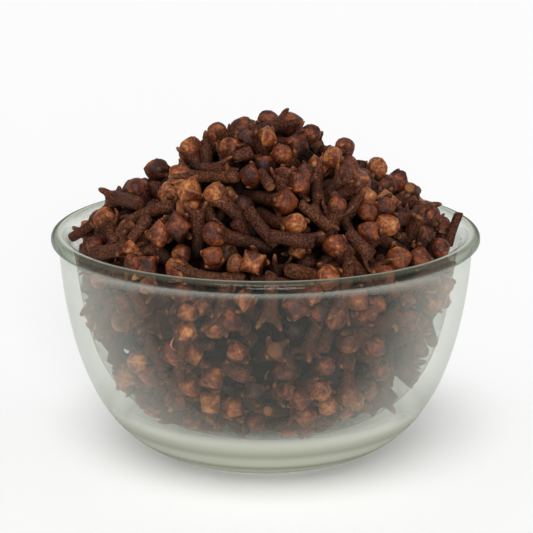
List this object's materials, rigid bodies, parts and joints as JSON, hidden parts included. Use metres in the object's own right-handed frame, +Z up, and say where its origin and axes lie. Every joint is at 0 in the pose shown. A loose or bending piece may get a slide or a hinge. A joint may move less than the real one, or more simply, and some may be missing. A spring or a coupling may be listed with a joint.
{
  "type": "bowl of cloves",
  "caption": "Small clear glass bowl with a rolled rim and a low foot, heaped with dried whole cloves in an uneven mound that rises above the rim.",
  "frame": {"origin": "centre of the foot's underside, in the plane the bowl rests on", "axes": "+Z up along the bowl's turning axis; +X and +Y are free, since the bowl is round"},
  "size_m": [0.092, 0.092, 0.0743],
  "materials": {
    "clear_glass": "smooth polished clear glass with a faint grey-green tint",
    "dried_clove": "dry, matt, finely wrinkled dark brown"
  },
  "bodies": {
    "root": {"glass_bowl": "clear_glass", "clove_heap": "dried_clove"}
  },
  "joints": []
}
